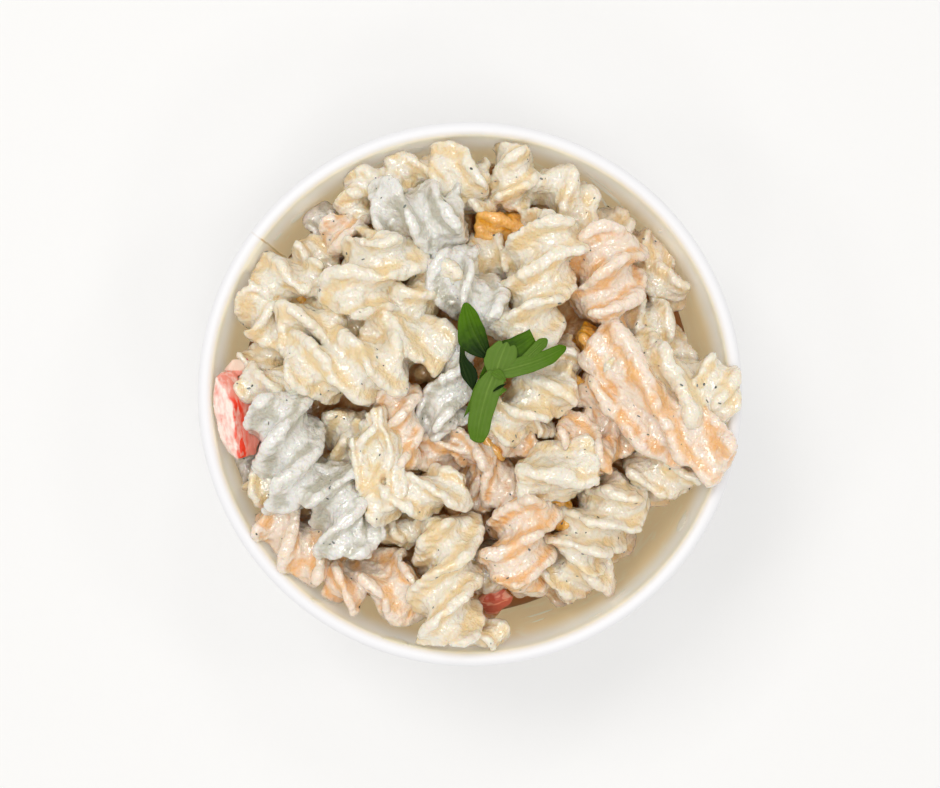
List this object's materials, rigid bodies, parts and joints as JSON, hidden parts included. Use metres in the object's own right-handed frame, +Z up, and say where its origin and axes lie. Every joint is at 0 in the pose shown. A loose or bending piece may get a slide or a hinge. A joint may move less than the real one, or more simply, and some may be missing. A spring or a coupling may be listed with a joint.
{
  "type": "pasta salad",
  "caption": "Creamy rotini pasta salad heaped in a round coated-paper bowl with a rolled rim, with torn crab sticks and a parsley sprig on top.",
  "frame": {"origin": "middle of the foot ring that the bowl stands on", "axes": "+Z up along the bowl's axis, out of its mouth; +Y to the top of the view from above, +X to its right"},
  "size_m": [0.115, 0.115, 0.0798],
  "materials": {
    "bowl_paper": "white coated paper with a low sheen",
    "dressed_pasta": "soft, glossy with dressing",
    "crab_stick": "moist, fine fibres",
    "parsley_leaf": "waxy leaf"
  },
  "bodies": {
    "root": {"bowl": "bowl_paper", "pasta_heap": "dressed_pasta", "crab_stick_side": "crab_stick", "crab_stick_low": "crab_stick", "parsley": "parsley_leaf"}
  },
  "joints": []
}
